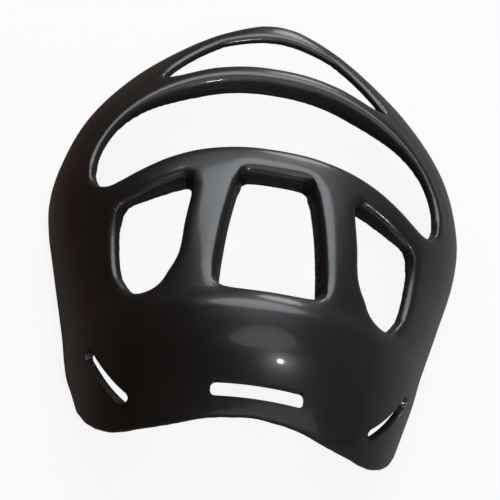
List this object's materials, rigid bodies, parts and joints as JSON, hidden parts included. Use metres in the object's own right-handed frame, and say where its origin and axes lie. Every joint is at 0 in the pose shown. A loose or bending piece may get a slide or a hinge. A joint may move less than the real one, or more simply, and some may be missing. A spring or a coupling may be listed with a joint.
{
  "type": "boxing headguard face grille",
  "caption": "Rigid moulded face grille of a boxing headguard: dished bars around eye and side windows over a closed jaw guard with strap slots",
  "frame": {"origin": "middle of the bounding box's bottom: the rim plane that lies against the headguard, half way along the face", "axes": "+Z points out of the face, -Y to the chin, +Y to the crown, and X runs across the face with the wearer's features mirrored about X = 0; left is -X, as it appears in the picture"},
  "size_m": [0.2106, 0.2472, 0.0903],
  "materials": {
    "moulded_plastic": "semi-gloss black injection-moulded plastic with soft moulded edges"
  },
  "bodies": {
    "root": {"chin_guard": "moulded_plastic", "left_jaw": "moulded_plastic", "right_jaw": "moulded_plastic", "left_cheek": "moulded_plastic", "right_cheek": "moulded_plastic", "left_upright": "moulded_plastic", "right_upright": "moulded_plastic", "brow_bar": "moulded_plastic", "forehead_bar": "moulded_plastic", "crown_bar": "moulded_plastic"}
  },
  "joints": []
}
